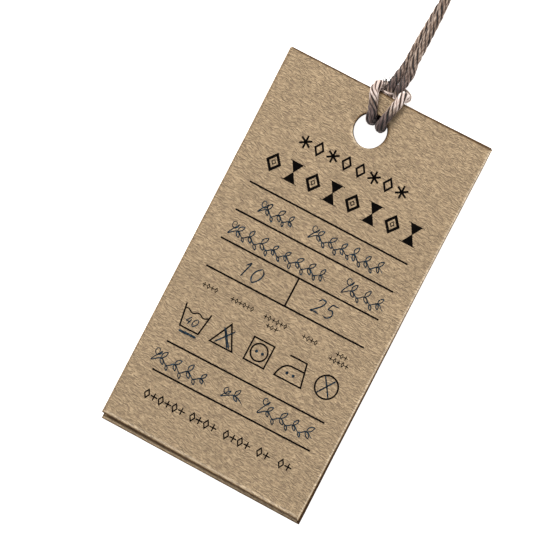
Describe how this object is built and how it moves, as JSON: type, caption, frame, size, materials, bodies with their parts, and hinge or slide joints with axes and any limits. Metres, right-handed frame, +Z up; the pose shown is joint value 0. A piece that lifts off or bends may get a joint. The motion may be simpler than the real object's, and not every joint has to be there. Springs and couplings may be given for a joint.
{
  "type": "hang tag",
  "caption": "Two square-cornered kraft cards with a round hole, strung on one cotton string with a lark's head hitch and a knotted loop.",
  "frame": {"origin": "on the table, under the middle of the box round the two cards and the hitch", "axes": "+Y along the cards towards the string, +X to the reader's right across the printed face, +Z up, out of the printed face"},
  "size_m": [0.0504, 0.171, 0.0074],
  "materials": {
    "kraft_board": "matt embossed kraft board, uncoated",
    "cotton_string": "twisted cotton string, matt, slightly hairy",
    "black_ink": "matt black printing ink",
    "pen_ink": "blue pen ink soaked into board"
  },
  "bodies": {
    "string": {"string_hitch": "cotton_string", "string_leg_left": "cotton_string", "string_leg_right": "cotton_string", "end_knot": "cotton_string"},
    "front_card": {"front_card": "kraft_board"},
    "back_card": {"back_card": "kraft_board"}
  },
  "joints": [
    {"name": "front_card_swing", "type": "hinge", "parent": "string", "child": "front_card", "pos_m": [-0.00038, 0.0375, 0.00424], "axis": [0, -0.0368, 0.9993], "range_deg": [-5, 5]},
    {"name": "back_card_swing", "type": "hinge", "parent": "string", "child": "back_card", "pos_m": [-0.00038, 0.03754, 0.00314], "axis": [0, -0.0368, 0.9993], "range_deg": [-5, 5]}
  ]
}
